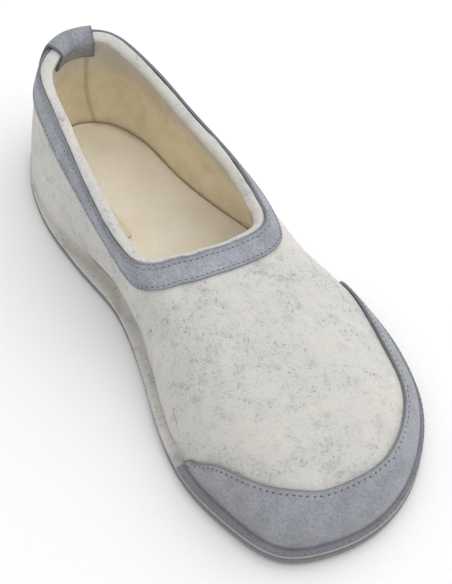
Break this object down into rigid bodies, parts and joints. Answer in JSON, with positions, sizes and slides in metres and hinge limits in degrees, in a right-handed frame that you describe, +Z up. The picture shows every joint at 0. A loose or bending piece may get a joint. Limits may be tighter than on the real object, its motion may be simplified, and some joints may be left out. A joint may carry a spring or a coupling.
{
  "type": "felt slipper",
  "caption": "Low closed felt slipper with a leather toe rand, a leather collar band, a heel tab and a thin stitched-down sole, standing empty.",
  "frame": {"origin": "on the floor, under the middle of the whole shoe's length and width", "axes": "+Z up, -Y towards the toe, +Y towards the heel, +X towards the outer side of the left foot"},
  "size_m": [0.11, 0.256, 0.0605],
  "materials": {
    "outsole": "matt light grey sheet rubber",
    "insole": "cream wool felt",
    "upper": "mottled pale grey wool felt",
    "toe_rand": "grey leather with a low sheen",
    "collar_band": "grey leather with a low sheen",
    "heel_tab": "grey leather with a low sheen",
    "label": "cream woven tape, blank"
  },
  "bodies": {
    "root": {"outsole": "outsole", "insole": "insole", "upper": "upper", "toe_rand": "toe_rand", "collar_band": "collar_band", "heel_tab": "heel_tab", "label": "label"}
  },
  "joints": []
}
